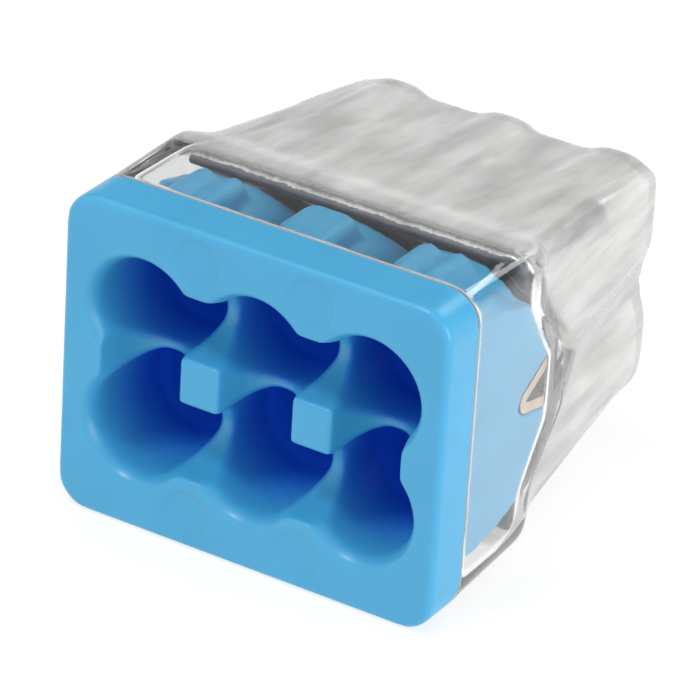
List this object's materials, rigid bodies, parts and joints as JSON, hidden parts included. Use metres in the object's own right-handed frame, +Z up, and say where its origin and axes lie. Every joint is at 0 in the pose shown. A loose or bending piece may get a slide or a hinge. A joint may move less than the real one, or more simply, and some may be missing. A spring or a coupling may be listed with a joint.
{
  "type": "push-in wire connector",
  "caption": "Push-in wire connector with a clear tapered housing, a blue port cover with flared round ports and sprung tongues that clamp wires to a shared busbar.",
  "frame": {"origin": "bottom centre of the connector's overall box, resting on the underside of the front plate", "axes": "+Z up, X across the three port columns, -Y the way the ports face and a wire is pulled out, +Y towards the tapered back"},
  "size_m": [0.0152, 0.0172, 0.0122],
  "materials": {
    "clear_plastic": "clear moulded polycarbonate, glossy with faint flow marks",
    "blue_plastic": "opaque sky-blue moulded plastic, satin gloss",
    "tinned_copper": "tin-plated copper sheet with bare copper cut edges",
    "spring_steel": "bright rolled spring steel"
  },
  "bodies": {
    "connector": {"housing": "clear_plastic", "port_cover": "blue_plastic", "busbar": "tinned_copper", "spring_frame": "spring_steel"},
    "upper_tongue_1": {"upper_tongue_1": "spring_steel"},
    "lower_tongue_1": {"lower_tongue_1": "spring_steel"},
    "upper_tongue_2": {"upper_tongue_2": "spring_steel"},
    "lower_tongue_2": {"lower_tongue_2": "spring_steel"},
    "upper_tongue_3": {"upper_tongue_3": "spring_steel"},
    "lower_tongue_3": {"lower_tongue_3": "spring_steel"}
  },
  "joints": [
    {"name": "upper_tongue_1_flex", "type": "hinge", "parent": "connector", "child": "upper_tongue_1", "pos_m": [-0.0045, -0.0023, 0.01048], "axis": [1, 0, 0], "range_deg": [0, 28], "stiffness_Nm_per_rad": 0.002, "springref_deg": -1.72},
    {"name": "lower_tongue_1_flex", "type": "hinge", "parent": "connector", "child": "lower_tongue_1", "pos_m": [-0.0045, -0.0023, 0.00172], "axis": [-1, 0, 0], "range_deg": [0, 28], "stiffness_Nm_per_rad": 0.002, "springref_deg": -1.72},
    {"name": "upper_tongue_2_flex", "type": "hinge", "parent": "connector", "child": "upper_tongue_2", "pos_m": [0, -0.0023, 0.01048], "axis": [1, 0, 0], "range_deg": [0, 28], "stiffness_Nm_per_rad": 0.002, "springref_deg": -1.72},
    {"name": "lower_tongue_2_flex", "type": "hinge", "parent": "connector", "child": "lower_tongue_2", "pos_m": [0, -0.0023, 0.00172], "axis": [-1, 0, 0], "range_deg": [0, 28], "stiffness_Nm_per_rad": 0.002, "springref_deg": -1.72},
    {"name": "upper_tongue_3_flex", "type": "hinge", "parent": "connector", "child": "upper_tongue_3", "pos_m": [0.0045, -0.0023, 0.01048], "axis": [1, 0, 0], "range_deg": [0, 28], "stiffness_Nm_per_rad": 0.002, "springref_deg": -1.72},
    {"name": "lower_tongue_3_flex", "type": "hinge", "parent": "connector", "child": "lower_tongue_3", "pos_m": [0.0045, -0.0023, 0.00172], "axis": [-1, 0, 0], "range_deg": [0, 28], "stiffness_Nm_per_rad": 0.002, "springref_deg": -1.72}
  ]
}
